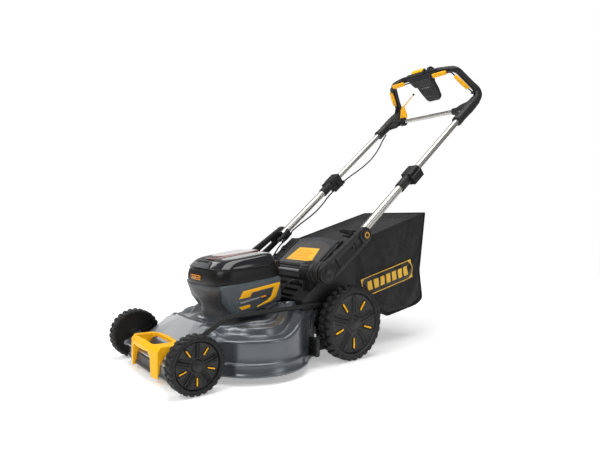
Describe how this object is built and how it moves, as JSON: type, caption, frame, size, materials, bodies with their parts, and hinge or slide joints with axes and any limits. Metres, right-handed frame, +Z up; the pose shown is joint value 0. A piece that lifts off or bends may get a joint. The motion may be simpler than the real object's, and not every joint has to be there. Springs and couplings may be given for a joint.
{
  "type": "lawn mower",
  "caption": "Walk-behind rotary lawn mower with a battery motor on a stepped deck, height-adjustable wheels, folding telescopic handle and rear grass bag.",
  "frame": {"origin": "on the ground, at the centre of the object's bounding box", "axes": "+X to the operator's left, -Y to the mower's front, +Z up"},
  "size_m": [0.604, 1.4314, 1.1565],
  "materials": {
    "deck_paint": "semi-gloss metallic dark grey",
    "tyre_black": "moulded tread",
    "rim_black": "satin moulded",
    "yellow_plastic": "satin yellow",
    "orange_plastic": "satin orange-yellow",
    "housing_grey": "satin blue-grey",
    "black_plastic": "fine moulded texture",
    "gloss_black": "high gloss",
    "steel": "zinc plated",
    "blade_steel": "ground edge",
    "aluminium": "satin anodised",
    "cast_alu": "as cast",
    "copper": "copper windings",
    "circuit": "board",
    "cable_black": "smooth",
    "bag_fabric": "woven polyester",
    "button_yellow": "satin yellow"
  },
  "bodies": {
    "chassis": {"deck": "deck_paint", "front_bumper": "yellow_plastic", "motor_mount": "cast_alu", "motor_stator": "copper", "controller": "circuit", "motor_cover": "housing_grey", "battery_bay": "black_plastic", "rear_body": "black_plastic", "flap_rod": "steel", "handle_towers": "black_plastic", "handle_arm_left": "black_plastic", "handle_arm_right": "black_plastic", "height_quadrant": "steel", "fasteners": "steel", "motor_lead": "cable_black", "cable_base": "cable_black"},
    "battery": {"battery_pack": "black_plastic"},
    "lid": {"battery_lid": "gloss_black"},
    "cutter": {"blade": "blade_steel", "blade_adapter": "steel", "blade_bolt": "steel", "motor_rotor": "steel"},
    "rear_carrier": {"rear_axle": "steel", "height_lever": "steel", "height_lever_grip": "black_plastic", "drive_gearbox": "cast_alu"},
    "front_carrier": {"front_axle": "steel"},
    "link": {"tie_rod": "steel"},
    "front_wheel_left": {"front_tyre_left": "tyre_black", "front_rim_left": "rim_black"},
    "front_wheel_right": {"front_tyre_right": "tyre_black", "front_rim_right": "rim_black"},
    "rear_wheel_left": {"rear_tyre_left": "tyre_black", "rear_rim_left": "rim_black"},
    "rear_wheel_right": {"rear_tyre_right": "tyre_black", "rear_rim_right": "rim_black"},
    "flap": {"discharge_flap": "black_plastic"},
    "shield": {"trailing_shield": "black_plastic"},
    "bag": {"bag_fabric": "bag_fabric", "bag_frame": "steel"},
    "handle_lower": {"lower_tube_left": "aluminium", "lower_tube_right": "aluminium", "clamp_collar_left": "black_plastic", "clamp_collar_right": "black_plastic", "cable_lower": "cable_black"},
    "handle_upper": {"upper_tube_left": "aluminium", "upper_tube_right": "aluminium", "corner_moulding_left": "black_plastic", "corner_moulding_right": "black_plastic", "cross_bar": "aluminium", "handle_loop": "black_plastic", "console": "black_plastic", "cable_upper": "cable_black"},
    "bail": {"presence_bail": "yellow_plastic"},
    "button": {"start_button": "button_yellow"},
    "drive_lever": {"speed_lever": "orange_plastic"},
    "clamp_cam_left": {"clamp_lever_left": "black_plastic"},
    "clamp_cam_right": {"clamp_lever_right": "black_plastic"},
    "fold_cam_left": {"fold_lever_left": "black_plastic"},
    "fold_cam_right": {"fold_lever_right": "black_plastic"}
  },
  "joints": [
    {"name": "height_adjust", "type": "hinge", "parent": "chassis", "child": "rear_carrier", "pos_m": [0, -0.1114, 0.1053], "axis": [-1, 0, 0], "range_deg": [0, 52]},
    {"name": "front_axle_turn", "type": "hinge", "parent": "chassis", "child": "front_carrier", "pos_m": [0, -0.6764, 0.0613], "axis": [-1, 0, 0], "range_deg": [0, 52]},
    {"name": "tie_rod_turn", "type": "hinge", "parent": "rear_carrier", "child": "link", "pos_m": [0.2035, -0.1289, 0.1413], "axis": [-1, 0, 0], "range_deg": [-52, 0]},
    {"name": "front_wheel_spin_left", "type": "hinge", "parent": "front_carrier", "child": "front_wheel_left", "pos_m": [0.238, -0.636, 0.081], "axis": [1, 0, 0], "continuous": true},
    {"name": "rear_wheel_spin_left", "type": "hinge", "parent": "rear_carrier", "child": "rear_wheel_left", "pos_m": [0.246, -0.071, 0.125], "axis": [1, 0, 0], "continuous": true},
    {"name": "front_wheel_spin_right", "type": "hinge", "parent": "front_carrier", "child": "front_wheel_right", "pos_m": [-0.238, -0.636, 0.081], "axis": [1, 0, 0], "continuous": true},
    {"name": "rear_wheel_spin_right", "type": "hinge", "parent": "rear_carrier", "child": "rear_wheel_right", "pos_m": [-0.246, -0.071, 0.125], "axis": [1, 0, 0], "continuous": true},
    {"name": "blade_spin", "type": "hinge", "parent": "chassis", "child": "cutter", "pos_m": [0, -0.395, 0.04], "axis": [0, 0, 1], "continuous": true},
    {"name": "battery_eject", "type": "slide", "parent": "chassis", "child": "battery", "axis": [0, 0, 1], "range_m": [0, 0.008]},
    {"name": "lid_open", "type": "hinge", "parent": "chassis", "child": "lid", "pos_m": [0, -0.272, 0.33], "axis": [-1, 0, 0], "range_deg": [0, 75]},
    {"name": "flap_open", "type": "hinge", "parent": "chassis", "child": "flap", "pos_m": [0, -0.1285, 0.293], "axis": [1, 0, 0], "range_deg": [0, 45]},
    {"name": "shield_swing", "type": "hinge", "parent": "chassis", "child": "shield", "pos_m": [0, -0.03, 0.112], "axis": [1, 0, 0], "range_deg": [0, 60]},
    {"name": "bag_lift", "type": "slide", "parent": "chassis", "child": "bag", "axis": [0, 0.9397, 0.342], "range_m": [0, 0.22]},
    {"name": "handle_fold", "type": "hinge", "parent": "chassis", "child": "handle_lower", "pos_m": [0, -0.0085, 0.419], "axis": [1, 0, 0], "range_deg": [0, 125], "deforming": ["cable_base"]},
    {"name": "handle_telescope", "type": "slide", "parent": "handle_lower", "child": "handle_upper", "axis": [0, -0.7716, -0.6361], "range_m": [0, 0.2], "deforming": ["cable_upper"]},
    {"name": "clamp_lever_left", "type": "hinge", "parent": "handle_lower", "child": "clamp_cam_left", "pos_m": [0.2555, 0.28045, 0.65331], "axis": [0, -0.6361, 0.7716], "range_deg": [0, 85]},
    {"name": "clamp_lever_right", "type": "hinge", "parent": "handle_lower", "child": "clamp_cam_right", "pos_m": [-0.2555, 0.28045, 0.65331], "axis": [0, 0.6361, -0.7716], "range_deg": [0, 85]},
    {"name": "fold_lever_left", "type": "hinge", "parent": "chassis", "child": "fold_cam_left", "pos_m": [0.1955, -0.0085, 0.419], "axis": [0, -0.1045, -0.9945], "range_deg": [0, 60]},
    {"name": "fold_lever_right", "type": "hinge", "parent": "chassis", "child": "fold_cam_right", "pos_m": [-0.1955, -0.0085, 0.419], "axis": [0, -0.6691, 0.7431], "range_deg": [0, 60]},
    {"name": "bail_squeeze", "type": "hinge", "parent": "handle_upper", "child": "bail", "pos_m": [0, 0.67791, 1.02273], "axis": [-1, 0, 0], "range_deg": [0, 3], "stiffness_Nm_per_rad": 1, "springref_deg": -8.59},
    {"name": "start_press", "type": "slide", "parent": "handle_upper", "child": "button", "axis": [0, 0.7583, -0.652], "range_m": [0, 0.004], "stiffness_N_per_m": 300, "springref_m": -0.002},
    {"name": "speed_lever_turn", "type": "hinge", "parent": "handle_upper", "child": "drive_lever", "pos_m": [-0.15, 0.6522, 0.95068], "axis": [1, 0, 0], "range_deg": [-15, 25]}
  ],
  "couplings": [
    {"joint": "front_axle_turn", "follows": "height_adjust", "ratio": 1},
    {"joint": "tie_rod_turn", "follows": "height_adjust", "ratio": -1}
  ]
}
